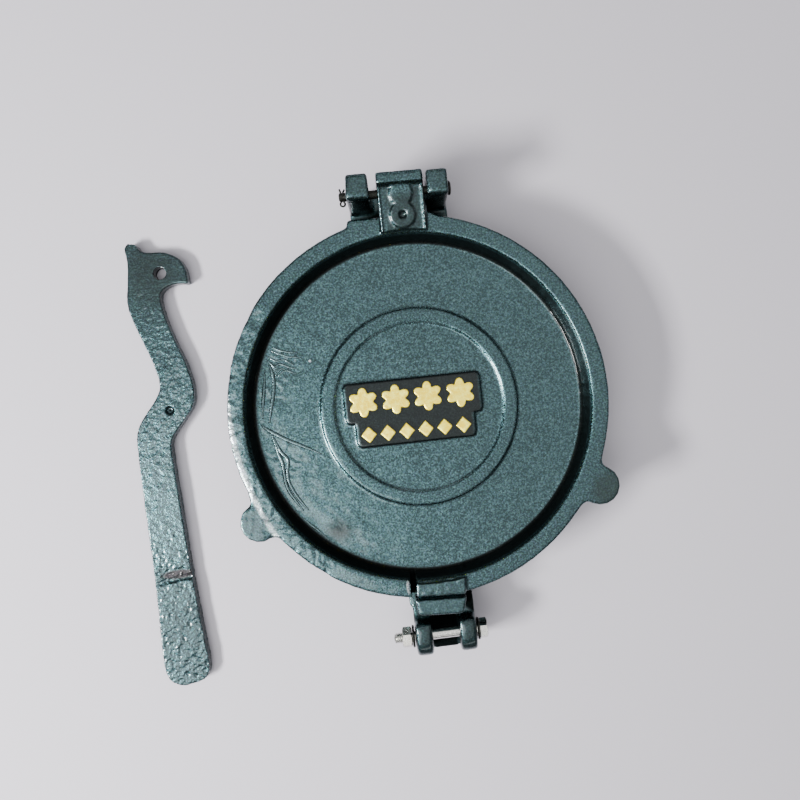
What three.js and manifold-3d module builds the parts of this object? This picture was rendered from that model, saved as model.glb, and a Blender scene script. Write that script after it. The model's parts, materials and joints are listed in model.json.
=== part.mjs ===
// Roti press in cast iron: a footed base plate, a dished top plate hinged to it at the back,
// and the lever that works the front, taken off and laid beside the press.
// Millimetres, +Z up. The plates are centred on X = Y = 0, the hinge is towards +Y.
import * as THREE from 'three';
import { mergeVertices } from 'three/addons/utils/BufferGeometryUtils.js';
import Module from 'manifold-3d';

const wasm = await Module();
wasm.setup();

// Sizes that both plates share
const plateRadius = 102;
const edgeRound = 1.2;
const plateGap = 0.3;
const seatGap = 0.3;
const pinClearance = 0.3;
const cutOverrun = 30;
const mergeDistance = 0.0001;

// Facets
const ringStep = 4;
const cornerStep = 22.5;
const pinFacets = 20;
const roundFacets = 2;
const plateFacets = 90;
const outlineFacets = 3;

// Base casting
const pressFaceHeight = 20;
const basePlateThickness = 6;
const baseRimDepth = 12;
const baseRimWidth = 9;
const baseWallLean = 1.5;
const baseFillet = 2.5;
const tabFootRadius = 8;
const tabFootTaper = 1.5;
const backFootLength = 40;
const backFootWidth = 12;
const backFootCorner = 3;

// Tabs at the sides of both plates
const tabAngle = 60.3;
const tabHalfWidth = 10.8;
const leftTabStandout = 12.9;
const rightTabStandout = 15;
const tabFillet = 6;

// Top plate casting
const topPlateThickness = 6.2;
const dishDepth = 11;
const rimWidth = 10;
const rimRound = 1.5;
const wallLean = 2.2;
const dishFillet = 2.4;
const pressRelief = 5;
const rimRelief = 1;

// Raised work on the floor of the dish
const beadRadius = 50;
const beadWidth = 8.6;
const beadHeight = 1.2;
const beadFlank = 1;
const plaqueUpperLength = 75;
const plaqueUpperWidth = 22;
const plaqueLowerLength = 65.4;
const plaqueLowerWidth = 13;
const plaqueAside = -3.2;
const plaqueForward = 6;
const plaqueHeight = 1.6;
const plaqueCorner = 3;
const plaqueEdge = 0.8;

// Hinge
const hingeStandout = 10.7;
const hingeHeight = 40;
const hingePinRadius = 2.3;
const hingeHalfWidth = 27;
const hingeCorner = 4;
const hingeFillet = 5;
const flangeHalfWidth = 28.6;
const flangeRoom = 10.9;
const flangeCorner = 2.2;
const earWidth = 11.3;
const earDepth = 13.4;
const earBack = 8.2;
const earRise = 10;
const earCorner = 2.2;
const leftEarFlare = 0.09;
const leftEarSetback = 0.9;
const tongueWidth = 24.6;
const tonguePlay = 1.1;
const tongueSideRoom = 3.8;
const tongueEnd = 9.6;
const tongueRise = 8;
const tongueCorner = 2;
const tongueBandLength = 7.2;
const tongueBandStep = 2.6;
const tongueFall = 5.9;
const panelDepth = 1;
const panelFrame = 1.3;
const panelRound = 0.6;
const outerBossRadius = 6.2;
const innerBossRadius = 6.8;
const bossHeight = 0.9;
const bossEdge = 0.5;
const bossPitch = 10.4;
const outerBossInset = 3.9;
const dimpleRadius = 2.3;
const dimpleDepth = 1.5;
const sweepWidth = 10.3;
const sweepTangent = 7;
const sweepRise = 9;
const swingRoom = 0.6;

// Hinge pin and the split pin that keeps it
const pinHeadRadius = 3.8;
const pinHeadThickness = 1.5;
const pinEndLength = 4.6;
const pinChamfer = 0.5;
const splitPinInset = 2.9;
const splitPinWidth = 1.3;
const splitPinRoom = 0.15;
const splitEyeRadius = 1.9;
const splitProngLength = 2.9;
const splitProngAngle = 32;

// Front nose of the top plate
const notchHalfWidth = 15;
const notchDepth = 9.5;
const padHalfWidth = 13.5;
const padAside = 0.5;
const padInset = 0.9;
const padRise = 2;
const padCorner = 1.5;
const noseRoom = 14.2;
const noseRise = -1.5;
const noseCorner = 3;
const noseAside = 0.3;
const noseTurn = -3;
const noseRootHalfWidth = 14.1;
const noseTipHalfWidth = 12.8;
const noseGroove = 2;
const noseGrooveDepth = 5;

// Lever pivot at the front of the base
const neckHalfWidth = 17.5;
const neckRoom = 14.6;
const neckCorner = 3;
const neckFillet = 9;
const pivotStandout = 24.6;
const pivotHeight = 22;
const pivotAside = 1.2;
const pivotSlot = 14.1;
const lugWidth = 10.2;
const lugRise = 8;
const lugOuter = 11.4;
const lugInner = 9.1;
const lugRoot = 7;
const lugCorner = 8;
const lugInnerCorner = 3.5;
const lugEdge = 1.3;
const forkFloor = 8.4;
const forkEdge = 1.2;

// Pivot bolt, its washers and nut
const boltRadius = 3;
const boltLength = 47.8;
const hexAcrossFlats = 10;
const headThickness = 4;
const nutThickness = 5.2;
const washerRadius = 6;
const washerThickness = 1.2;
const boltChamfer = 0.6;

// Lever
const leverThickness = 7;
const leverReach = 234.6;
const leverSweep = 19.4;
const leverEdge = 0.9;
const leverEyeRadius = 3.4;
const leverTurn = -92.6;
const leverStandout = 35.2;
const leverAlong = 89.8;
const leverSteps = 3;
const grooveReach = 173;
const grooveRadius = 3;
const grooveDepth = 0.5;
const grooveTurn = 100;

// Outline of the lever from the eye, as shares of its reach and of its sweep:
// first the back from the crest's tip to the handle's end, then the front up to the beak's tip,
// and last the brow between beak and crest.
const backShares = [
  [-0.076, -0.845], [-0.062, -0.964], [-0.03, -0.907], [0.018, -0.938], [0.073, -0.99],
  [0.131, -0.789], [0.202, -0.443], [0.266, -0.237], [0.304, -0.412], [0.355, -0.851],
  [0.393, -0.99], [0.446, -0.979], [0.579, -0.887], [0.731, -0.773], [0.926, -0.68],
  [0.977, -0.572], [0.998, -0.268], [1, 0.072], [0.985, 0.577], [0.95, 0.686],
  [0.884, 0.593], [0.744, 0.381], [0.58, 0.186], [0.449, 0.036], [0.402, 0.046],
  [0.36, 0.402], [0.32, 0.716], [0.276, 0.758], [0.219, 0.593], [0.149, 0.258],
  [0.082, 0.021], [0.049, 0], [0.032, 0.242], [0.027, 0.567], [0.029, 0.716],
];
const browShares = [
  [0.026, 0.794], [-0.005, 0.753], [-0.029, 0.613], [-0.043, 0.387], [-0.051, 0.093],
  [-0.052, -0.361], [-0.061, -0.567], [-0.076, -0.845],
];

// Places that follow from the sizes
const hingeReach = plateRadius + hingeStandout;
const flangeReach = hingeReach - flangeRoom;
const pivotReach = plateRadius + pivotStandout;
const neckReach = pivotReach - neckRoom;
const noseReach = pivotReach - noseRoom;
const topFaceLow = pressFaceHeight + plateGap;
const rimLow = topFaceLow + rimRelief;
const dishFloor = topFaceLow + topPlateThickness;
const rimTop = dishFloor + dishDepth;
const rimInner = plateRadius - rimWidth;
const baseLow = pressFaceHeight - baseRimDepth;
const tongueCentre = tongueSideRoom / 2 - tonguePlay / 2;
const earInner = tongueWidth / 2 + tongueCentre + tonguePlay;
const earOuter = earInner + earWidth;
const lugInnerX = pivotSlot / 2;
const lugOuterX = lugInnerX + lugWidth;

function radians(degrees) {
  return THREE.MathUtils.degToRad(degrees);
}

function solid(geometry) {
  geometry.deleteAttribute('normal');
  geometry.deleteAttribute('uv');
  const merged = mergeVertices(geometry, mergeDistance);
  const index = merged.index.array;
  const triVerts = [];
  for (let i = 0; i < index.length; i += 3) {
    const [a, b, c] = [index[i], index[i + 1], index[i + 2]];
    if (a !== b && b !== c && c !== a) triVerts.push(a, b, c);
  }
  return new wasm.Manifold(new wasm.Mesh({
    numProp: 3,
    vertProperties: new Float32Array(merged.attributes.position.array),
    triVerts: new Uint32Array(triVerts),
  }));
}

function part(name, body, material) {
  const mesh = body.getMesh();
  const geometry = new THREE.BufferGeometry();
  geometry.setAttribute('position', new THREE.BufferAttribute(mesh.vertProperties, mesh.numProp));
  geometry.setIndex(new THREE.BufferAttribute(mesh.triVerts, 1));
  geometry.computeVertexNormals();
  const piece = new THREE.Mesh(geometry, material);
  piece.name = name;
  return piece;
}

// Points of an arc, one for each step of the given angle
function arc(x, y, radius, from, to, step) {
  const count = Math.max(1, Math.round(Math.abs(to - from) / step));
  const points = [];
  for (let i = 0; i <= count; i += 1) {
    const angle = radians(from + (to - from) * i / count);
    points.push(new THREE.Vector2(x + radius * Math.cos(angle), y + radius * Math.sin(angle)));
  }
  return points;
}

// A box outline with rounded corners
function roundedBox(xLow, xHigh, yLow, yHigh, corner) {
  return [
    ...arc(xHigh - corner, yLow + corner, corner, -90, 0, cornerStep),
    ...arc(xHigh - corner, yHigh - corner, corner, 0, 90, cornerStep),
    ...arc(xLow + corner, yHigh - corner, corner, 90, 180, cornerStep),
    ...arc(xLow + corner, yLow + corner, corner, 180, 270, cornerStep),
  ];
}

function extrude(points, low, high, round) {
  const shape = new THREE.Shape(points);
  return new THREE.ExtrudeGeometry(shape, {
    depth: high - low - 2 * round,
    steps: 1,
    bevelEnabled: round > 0,
    bevelThickness: round,
    bevelSize: round,
    bevelOffset: -round,
    bevelSegments: roundFacets,
    curveSegments: outlineFacets,
  }).translate(0, 0, low + round);
}

// An outline in X and Y, raised along Z
function raised(points, low, high, round = 0) {
  return solid(extrude(points, low, high, round));
}

// An outline in Y and Z, drawn out along X
function across(points, low, high, round = 0) {
  const turn = new THREE.Matrix4().makeBasis(
    new THREE.Vector3(0, 1, 0),
    new THREE.Vector3(0, 0, 1),
    new THREE.Vector3(1, 0, 0),
  );
  return solid(extrude(points, low, high, round).applyMatrix4(turn));
}

// A section of radii and heights, turned about Z
function turned(points, facets = plateFacets) {
  return solid(new THREE.LatheGeometry(points, facets).rotateX(Math.PI / 2));
}

function at(radius, height) {
  return new THREE.Vector2(radius, height);
}

function rod(radius, low, high, chamfer = 0) {
  return turned([
    at(0, low),
    at(radius - chamfer, low),
    at(radius, low + chamfer),
    at(radius, high - chamfer),
    at(radius - chamfer, high),
    at(0, high),
  ], pinFacets);
}

function alongX(body, y, z) {
  return body.rotate([0, 90, 0]).translate([0, y, z]);
}

function mirrored(body) {
  return body.mirror([1, 0, 0]);
}

// One lobe that stands out from the plate's round edge, with filleted roots and round corners
function lobe(direction, halfWidth, reach, corner, fillet) {
  const out = new THREE.Vector2(1, 0).rotateAround(new THREE.Vector2(), radians(direction));
  const along = new THREE.Vector2(-out.y, out.x);
  const place = (u, v) => new THREE.Vector2().addScaledVector(along, u).addScaledVector(out, v);
  const side = Math.sqrt(plateRadius ** 2 - halfWidth ** 2);
  const foot = halfWidth + fillet;
  const footSide = Math.sqrt(plateRadius ** 2 - foot ** 2);
  const root = (sign) => new THREE.QuadraticBezierCurve(
    place(sign * foot, footSide),
    place(sign * halfWidth, side),
    place(sign * halfWidth, Math.min(side + fillet / 2, reach - corner)),
  ).getPoints(outlineFacets);
  const low = place(corner - halfWidth, reach - corner);
  const high = place(halfWidth - corner, reach - corner);
  return {
    halfAngle: THREE.MathUtils.radToDeg(Math.asin(foot / plateRadius)),
    direction,
    points: [
      ...root(-1),
      ...arc(low.x, low.y, corner, direction - 90, direction, cornerStep),
      ...arc(high.x, high.y, corner, direction, direction + 90, cornerStep),
      ...root(1).reverse(),
    ],
  };
}

// The round plate with its lobes in turn, going round from the first
function plateOutline(lobes) {
  const points = [];
  lobes.forEach((current, i) => {
    const next = lobes[(i + 1) % lobes.length];
    const from = current.direction + current.halfAngle;
    const to = next.direction - next.halfAngle + (i + 1 === lobes.length ? 360 : 0);
    points.push(...current.points, ...arc(0, 0, plateRadius, from, to, ringStep).slice(1, -1));
  });
  return withoutDoubles(points);
}

function withoutDoubles(points) {
  return points.filter((point, i) => {
    const before = points[(i + points.length - 1) % points.length];
    return point.distanceTo(before) > mergeDistance * 10;
  });
}

// The two tabs, each with its direction and its reach
const tabs = [
  { direction: -90 + tabAngle, reach: plateRadius + rightTabStandout },
  { direction: 270 - tabAngle, reach: plateRadius + leftTabStandout },
];

const [rightTab, leftTab] = tabs.map(({ direction, reach }) => (
  lobe(direction, tabHalfWidth, reach, tabHalfWidth, tabFillet)
));

// The earlike lug of the hinge, as an outline in Y and Z
function earOutline() {
  const back = hingeReach + earBack;
  const front = back - earDepth;
  const top = hingeHeight + earRise;
  return [
    at(front, baseLow + edgeRound),
    at(back - edgeRound, baseLow + edgeRound),
    ...arc(back - earCorner, top - earCorner, earCorner, 0, 90, cornerStep),
    ...arc(front + earCorner, top - earCorner, earCorner, 90, 180, cornerStep),
  ];
}

// The left ear stands further back and grows wider towards the dish, outwards from its inner face
function leftEar(rightEar) {
  const back = hingeReach + earBack;
  const flared = mirrored(rightEar).warp((point) => {
    const share = leftEarFlare * (back - point[1]) / earDepth;
    point[0] = -earInner + (point[0] + earInner) * (1 + share);
  });
  return flared.translate([0, leftEarSetback, 0]);
}

// One lug of the lever's pivot: it stands on the table and leans back into the neck
function lugOutline() {
  const outer = -pivotReach - lugOuter;
  const inner = -pivotReach + lugInner;
  const root = -neckReach + lugRoot;
  const top = pivotHeight + lugRise;
  return [
    ...arc(outer + lugInnerCorner, lugInnerCorner, lugInnerCorner, 180, 270, cornerStep),
    at(root, 0),
    at(root, pressFaceHeight - lugEdge),
    at(inner, pivotHeight + lugEdge),
    ...arc(inner - lugInnerCorner, top - lugInnerCorner, lugInnerCorner, 0, 90, cornerStep),
    ...arc(outer + lugCorner, top - lugCorner, lugCorner, 90, 180, cornerStep),
  ];
}

// The floor of the fork, which joins the lugs below the lever and is the front foot
function makeForkFloor() {
  const outline = roundedBox(
    pivotAside - lugOuterX + forkEdge,
    pivotAside + lugOuterX - forkEdge,
    -pivotReach - lugOuter + forkEdge,
    -neckReach + lugRoot,
    neckCorner,
  );
  return raised(outline, 0, forkFloor, forkEdge);
}

function baseHollow() {
  const foot = plateRadius - baseRimWidth;
  const ceiling = pressFaceHeight - basePlateThickness;
  return turned([
    at(0, -cutOverrun),
    at(foot, -cutOverrun),
    at(foot, baseLow),
    at(foot - baseWallLean, ceiling - baseFillet),
    at(foot - baseWallLean - baseFillet, ceiling),
    at(0, ceiling),
  ]);
}

function makeBase() {
  const outline = plateOutline([
    lobe(-90, neckHalfWidth, neckReach, neckCorner, neckFillet),
    rightTab,
    lobe(90, hingeHalfWidth, hingeReach + earBack, hingeCorner, hingeFillet),
    leftTab,
  ]);
  let body = raised(outline, baseLow, pressFaceHeight, edgeRound).subtract(baseHollow());

  for (const { direction, reach } of tabs) {
    const footReach = reach - tabHalfWidth;
    const foot = turned([
      at(0, 0),
      at(tabFootRadius - tabFootTaper, 0),
      at(tabFootRadius, baseLow + edgeRound),
      at(0, baseLow + edgeRound),
    ], pinFacets);
    const angle = radians(direction);
    body = body.add(foot.translate([footReach * Math.cos(angle), footReach * Math.sin(angle), 0]));
  }
  const backFoot = roundedBox(
    -backFootLength / 2,
    backFootLength / 2,
    hingeReach - backFootWidth / 2,
    hingeReach + backFootWidth / 2,
    backFootCorner,
  );
  body = body.add(raised(backFoot, 0, baseLow + edgeRound));

  const ear = across(earOutline(), earInner, earOuter, edgeRound);
  body = body.add(ear).add(leftEar(ear)).add(makeForkFloor());
  for (const inner of [lugInnerX, -lugOuterX]) {
    const low = pivotAside + inner;
    body = body.add(across(lugOutline(), low, low + lugWidth, lugEdge));
  }

  const pinBore = rod(hingePinRadius + pinClearance, -earOuter - cutOverrun, earOuter + cutOverrun);
  const boltBore = rod(boltRadius + pinClearance, -lugOuterX - cutOverrun, lugOuterX + cutOverrun);
  return body
    .subtract(alongX(pinBore, hingeReach, hingeHeight))
    .subtract(alongX(boltBore, -pivotReach, pivotHeight).translate([pivotAside, 0, 0]));
}

// The dish and all that opens above it, with a leaning wall and rounded rim
function dishHollow() {
  const foot = rimInner - wallLean;
  return turned([
    at(0, dishFloor),
    at(foot - dishFillet, dishFloor),
    ...arc(foot - dishFillet, dishFloor + dishFillet, dishFillet, 270, 350, cornerStep).slice(1),
    ...arc(rimInner + rimRound, rimTop - rimRound, rimRound, 180, 90, cornerStep * 2),
    at(rimInner + rimRound, rimTop + cutOverrun),
    at(0, rimTop + cutOverrun),
  ]);
}

function makeBead() {
  const inner = beadRadius - beadWidth / 2;
  const outer = beadRadius + beadWidth / 2;
  const top = dishFloor + beadHeight;
  const root = dishFloor - beadHeight;
  return turned([
    at(inner, root),
    at(outer, root),
    at(outer, dishFloor),
    at(outer - beadFlank / 2, top - beadHeight / 3),
    at(outer - beadFlank * 1.5, top),
    at(inner + beadFlank * 1.5, top),
    at(inner + beadFlank / 2, top - beadHeight / 3),
    at(inner, dishFloor),
    at(inner, root),
  ]);
}

// The plaque is a plain step: a long row towards the hinge and a shorter one in front of it
function makePlaque() {
  const row = (length, low, high) => raised(
    roundedBox(plaqueAside - length / 2, plaqueAside + length / 2, low, high, plaqueCorner),
    dishFloor - plaqueHeight,
    dishFloor + plaqueHeight,
    plaqueEdge,
  );
  const upper = row(plaqueUpperLength, -plaqueForward, plaqueUpperWidth - plaqueForward);
  const lowerEdge = -plaqueForward - plaqueLowerWidth;
  return upper.add(row(plaqueLowerLength, lowerEdge, -plaqueForward + plaqueCorner));
}

// The tongue between the ears: a barrel round the pin, a band at its end and a sloping top
function tongueOutline() {
  const end = hingeReach + tongueEnd;
  const top = hingeHeight + tongueRise;
  const bandFoot = end - tongueBandLength;
  return [
    at(rimInner, rimLow),
    at(flangeReach, rimLow),
    ...arc(hingeReach, hingeHeight, tongueEnd, 215, 360, cornerStep),
    ...arc(end - tongueCorner, top - tongueCorner, tongueCorner, 0, 90, cornerStep * 2),
    at(bandFoot + tongueCorner / 2, top),
    at(bandFoot, top - tongueBandStep),
    at(rimInner, top - tongueBandStep - tongueFall),
  ];
}

// Height of the tongue's frame and its slope, along Y
function frameHeight(y) {
  const bandFoot = hingeReach + tongueEnd - tongueBandLength;
  const fall = tongueFall / (bandFoot - rimInner);
  return hingeHeight + tongueRise - tongueBandStep - (bandFoot - y) * fall;
}

// The shallow panel that the frame surrounds, open towards the dish
function panelCut() {
  const outer = hingeReach + tongueEnd - tongueBandLength;
  const inner = rimInner - rimWidth;
  const section = [
    at(inner, frameHeight(inner) - panelDepth),
    at(outer, frameHeight(outer) - panelDepth),
    at(outer, frameHeight(outer) + cutOverrun),
    at(inner, frameHeight(outer) + cutOverrun),
  ];
  const half = tongueWidth / 2 - panelFrame;
  return across(section, tongueCentre - half, tongueCentre + half, panelRound);
}

// A small turned piece laid on the sloping panel
function onPanel(section, y) {
  const slope = THREE.MathUtils.radToDeg(Math.atan2(frameHeight(y) - frameHeight(0), y));
  const place = [tongueCentre, y, frameHeight(y) - panelDepth];
  return turned(section, pinFacets).rotate([slope, 0, 0]).translate(place);
}

function boss(radius, y) {
  return onPanel([
    at(0, -panelDepth),
    at(radius, -panelDepth),
    at(radius, bossHeight - bossEdge),
    at(radius - bossEdge, bossHeight),
    at(0, bossHeight),
  ], y);
}

// The dimple in the middle of the inner boss
function dimple(y) {
  return onPanel([
    at(0, bossHeight - dimpleDepth),
    at(dimpleRadius / 2, bossHeight - dimpleDepth),
    at(dimpleRadius, bossHeight),
    at(dimpleRadius, bossHeight + cutOverrun),
    at(0, bossHeight + cutOverrun),
  ], y);
}

// The flange of the top plate: square at the left, and swept into the ring beside the right ear
function flange() {
  const square = lobe(90, flangeHalfWidth, flangeReach, flangeCorner, flangeCorner);
  const side = earInner - seatGap;
  const foot = at(side + sweepWidth, Math.sqrt(plateRadius ** 2 - (side + sweepWidth) ** 2));
  const along = at(-foot.y, foot.x).setLength(sweepTangent);
  const top = flangeReach + sweepRise;
  const sweep = new THREE.CubicBezierCurve(
    foot,
    along.add(foot),
    at(side, flangeReach),
    at(side, top),
  ).getPoints(2 * outlineFacets);
  const leftAngle = square.direction + square.halfAngle;
  const rightAngle = THREE.MathUtils.radToDeg(foot.angle());
  return {
    halfAngle: (leftAngle - rightAngle) / 2,
    direction: (leftAngle + rightAngle) / 2,
    points: [
      ...sweep,
      at(tongueCentre, top),
      at(tongueCentre, flangeReach),
      ...square.points.slice(square.points.length / 2),
    ],
  };
}

// The room that the ears need as the flange swings over them, on both sides of the tongue
function earRoom() {
  const corners = [
    Math.hypot(earBack - earCorner, earRise - earCorner),
    Math.hypot(earDepth - earBack - earCorner, earRise - earCorner),
  ];
  const radius = Math.min(...corners) + earCorner + swingRoom;
  const start = earInner - seatGap / 2;
  const left = rod(radius, -start - cutOverrun, -start);
  const right = rod(radius, start, start + cutOverrun);
  return alongX(left.add(right), hingeReach, hingeHeight);
}

// The nose narrows from its root at the groove to its rounded tip
function noseOutline(root) {
  const tip = -noseReach + noseCorner;
  const side = noseTipHalfWidth - noseCorner;
  return [
    at(noseAside + noseRootHalfWidth, -root),
    at(noseAside - noseRootHalfWidth, -root),
    ...arc(noseAside - side, tip, noseCorner, 180, 270, cornerStep),
    ...arc(noseAside + side, tip, noseCorner, 270, 360, cornerStep),
  ];
}

// The front pad in its notch and the nose beyond it, with a groove between them, all a little askew
function makeNose() {
  const padEdge = plateRadius - padInset;
  const noseEdge = padEdge + noseGroove;
  const low = rimTop - notchDepth;
  const padLeft = padAside - padHalfWidth;
  const padRight = padAside + padHalfWidth;
  const pad = raised(
    roundedBox(padLeft, padRight, -padEdge, -rimInner + rimWidth / 2, padCorner),
    low - edgeRound,
    rimTop + padRise,
    edgeRound,
  );
  const nose = raised(noseOutline(noseEdge), rimLow, rimTop + noseRise, edgeRound);
  const bridgeHalf = noseTipHalfWidth - edgeRound;
  const bridge = raised(
    roundedBox(
      noseAside - bridgeHalf,
      noseAside + bridgeHalf,
      -noseReach + edgeRound,
      -rimInner,
      padCorner,
    ),
    rimLow,
    rimTop + noseRise - noseGrooveDepth,
  );
  return pad.add(nose).add(bridge)
    .translate([-noseAside, padEdge, 0])
    .rotate([0, 0, noseTurn])
    .translate([noseAside, -padEdge, 0]);
}

function makeTopPlate() {
  const outline = plateOutline([
    rightTab,
    flange(),
    leftTab,
  ]);
  const pressFace = turned([
    at(0, topFaceLow),
    at(plateRadius - pressRelief - rimRelief, topFaceLow),
    at(plateRadius - pressRelief, rimLow),
    at(plateRadius - pressRelief, rimLow + edgeRound),
    at(0, rimLow + edgeRound),
  ]);
  const notch = raised(
    roundedBox(-notchHalfWidth, notchHalfWidth, -plateRadius - cutOverrun, -rimInner + rimWidth, edgeRound),
    rimTop - notchDepth,
    rimTop + cutOverrun,
  );
  const tongueLeft = tongueCentre - tongueWidth / 2;
  const tongue = across(tongueOutline(), tongueLeft, tongueLeft + tongueWidth, edgeRound);
  const bandFoot = hingeReach + tongueEnd - tongueBandLength;
  const outerBoss = bandFoot - outerBossInset;
  const bore = rod(hingePinRadius + pinClearance, -earOuter, earOuter);

  return raised(outline, rimLow, rimTop, edgeRound)
    .add(pressFace)
    .subtract(notch)
    .subtract(earRoom())
    .add(tongue)
    .subtract(panelCut())
    .add(boss(outerBossRadius, outerBoss))
    .add(boss(innerBossRadius, outerBoss - bossPitch))
    .subtract(dimple(outerBoss - bossPitch))
    .add(makeNose())
    .subtract(dishHollow())
    .add(makeBead())
    .add(makePlaque())
    .subtract(alongX(bore, hingeReach, hingeHeight));
}

// The pin runs along X from its head at the right ear to its drilled end past the left ear
function makeHingePin() {
  const headFace = earOuter + seatGap;
  const end = -earOuter - pinEndLength;
  const shank = rod(hingePinRadius, end, headFace + pinHeadThickness / 2, pinChamfer);
  const head = rod(pinHeadRadius, headFace, headFace + pinHeadThickness, pinChamfer);
  const half = splitPinWidth / 2 + splitPinRoom;
  const hole = new THREE.BoxGeometry(2 * half, cutOverrun, 2 * half);
  return alongX(shank.add(head), 0, 0).subtract(solid(hole).translate([splitPinX(), 0, 0]));
}

function splitPinX() {
  return -earOuter - splitPinInset;
}

// The split pin lies flat across the hinge pin: eye, doubled shank and two bent prongs
function makeSplitPin() {
  const thickness = splitPinWidth;
  const half = thickness / 2;
  const eyeCentre = -hingePinRadius - splitEyeRadius;
  const shankEnd = hingePinRadius + half;
  const eye = rod(splitEyeRadius, -half, half, half / 3)
    .subtract(rod(splitEyeRadius - half, -thickness, thickness))
    .translate([0, eyeCentre, 0]);
  const shank = raised([
    at(-half, eyeCentre + splitEyeRadius - half / 2),
    at(half, eyeCentre + splitEyeRadius - half / 2),
    at(half, shankEnd),
    at(-half, shankEnd),
  ], -half, half);
  const prong = raised(
    roundedBox(-half / 2, half / 2, 0, splitProngLength, half / 4),
    -half,
    half,
  );
  const spread = (sign) => prong
    .rotate([0, 0, -sign * splitProngAngle])
    .translate([sign * half / 2, shankEnd - half, 0]);
  return eye.add(shank).add(spread(1)).add(spread(-1));
}

// A hexagon with its corners turned off at the given faces
function hexagon(thickness, chamferLow, chamferHigh) {
  const corner = hexAcrossFlats / 2 / Math.cos(Math.PI / 6);
  const flats = hexAcrossFlats / 2;
  const slope = (corner - flats) / 2;
  const hex = raised(arc(0, 0, corner, 0, 300, 60), 0, thickness);
  const round = turned([
    at(0, 0),
    at(chamferLow ? flats : corner, 0),
    at(corner, chamferLow ? slope : 0),
    at(corner, chamferHigh ? thickness - slope : thickness),
    at(chamferHigh ? flats : corner, thickness),
    at(0, thickness),
  ], pinFacets * 2);
  return hex.intersect(round);
}

function makeBolt() {
  const head = hexagon(headThickness, false, true);
  return alongX(rod(boltRadius, -boltLength, headThickness / 2, boltChamfer).add(head), 0, 0);
}

function makeNut() {
  const bore = rod(boltRadius + pinClearance, -nutThickness, 2 * nutThickness);
  return alongX(hexagon(nutThickness, true, true).subtract(bore), 0, 0);
}

function makeWasher() {
  const bore = rod(boltRadius + pinClearance, -washerThickness, 2 * washerThickness);
  return alongX(rod(washerRadius, 0, washerThickness).subtract(bore), 0, 0);
}

// The lever lies flat: its eye at the origin, its handle along X, its beak towards +Y
function makeLever() {
  const scaled = (shares) => shares.map(([along, side]) => at(along * leverReach, side * leverSweep));
  const smooth = (points) => new THREE.SplineCurve(points).getPoints(points.length * leverSteps);
  const back = smooth(scaled(backShares));
  const brow = smooth(scaled(browShares));
  const outline = withoutDoubles([...back, ...brow]);
  const eye = rod(leverEyeRadius, -leverThickness, 2 * leverThickness);
  const groove = rod(grooveRadius, -leverReach, leverReach)
    .rotate([0, 90, grooveTurn])
    .translate([grooveReach, 0, leverThickness + grooveRadius - grooveDepth]);
  return raised(outline, 0, leverThickness, leverEdge).subtract(eye).subtract(groove);
}

function castIron(colour, roughness) {
  return new THREE.MeshStandardMaterial({ color: colour, roughness, metalness: 0.35 });
}

function steel(colour, roughness) {
  return new THREE.MeshStandardMaterial({ color: colour, roughness, metalness: 0.95 });
}

const base = part('base', makeBase(), castIron(0x28332f, 0.5));
const topPlate = part('top_plate', makeTopPlate(), castIron(0x3a4a47, 0.42));
const lever = part('lever', makeLever(), castIron(0x2f3a37, 0.6));
const hingePin = part('hinge_pin', makeHingePin(), steel(0x2b2a28, 0.5));
const splitPin = part('split_pin', makeSplitPin(), steel(0x6b675f, 0.45));
const bolt = part('pivot_bolt', makeBolt(), steel(0xc9c7bf, 0.3));
const nut = part('pivot_nut', makeNut(), steel(0xcfcbbd, 0.35));
const headWasher = part('head_washer', makeWasher(), steel(0x8d8b84, 0.4));
const nutWasher = part('nut_washer', makeWasher(), steel(0x8d8b84, 0.4));

hingePin.position.set(0, hingeReach, hingeHeight);
splitPin.position.set(splitPinX(), hingeReach, hingeHeight);

const washerStack = seatGap + washerThickness + seatGap;
const lugRight = pivotAside + lugOuterX;
const lugLeft = pivotAside - lugOuterX;
bolt.position.set(lugRight + washerStack, -pivotReach, pivotHeight);
headWasher.position.set(lugRight + seatGap, -pivotReach, pivotHeight);
nutWasher.position.set(lugLeft - seatGap - washerThickness, -pivotReach, pivotHeight);
nut.position.set(lugLeft - washerStack - nutThickness, -pivotReach, pivotHeight);

lever.position.set(-plateRadius - leverStandout, leverAlong, 0);
lever.rotation.z = radians(leverTurn);

const group = new THREE.Group();
group.add(base, topPlate, hingePin, splitPin, bolt, headWasher, nutWasher, nut, lever);

// The whole layout stands on Z = 0 with the middle of its box at X = Y = 0
const box = new THREE.Box3().setFromObject(group, true);
const middle = box.getCenter(new THREE.Vector3());
group.position.set(-middle.x, -middle.y, -box.min.z);

export default group;
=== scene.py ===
# %% [markdown]
# # A cast-iron roti press
# The press flattens a ball of dough between two iron plates. Its base, its pins and its bolt stay put,
# the dished top plate swings up on the hinge at the back, and the lever lies loose beside it.
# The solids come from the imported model, in metres, and every piece below is fitted to them.

# %% Load the frame
import json
import math
from collections import namedtuple

import bmesh
import bpy
from mathutils import Matrix, Vector


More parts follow.
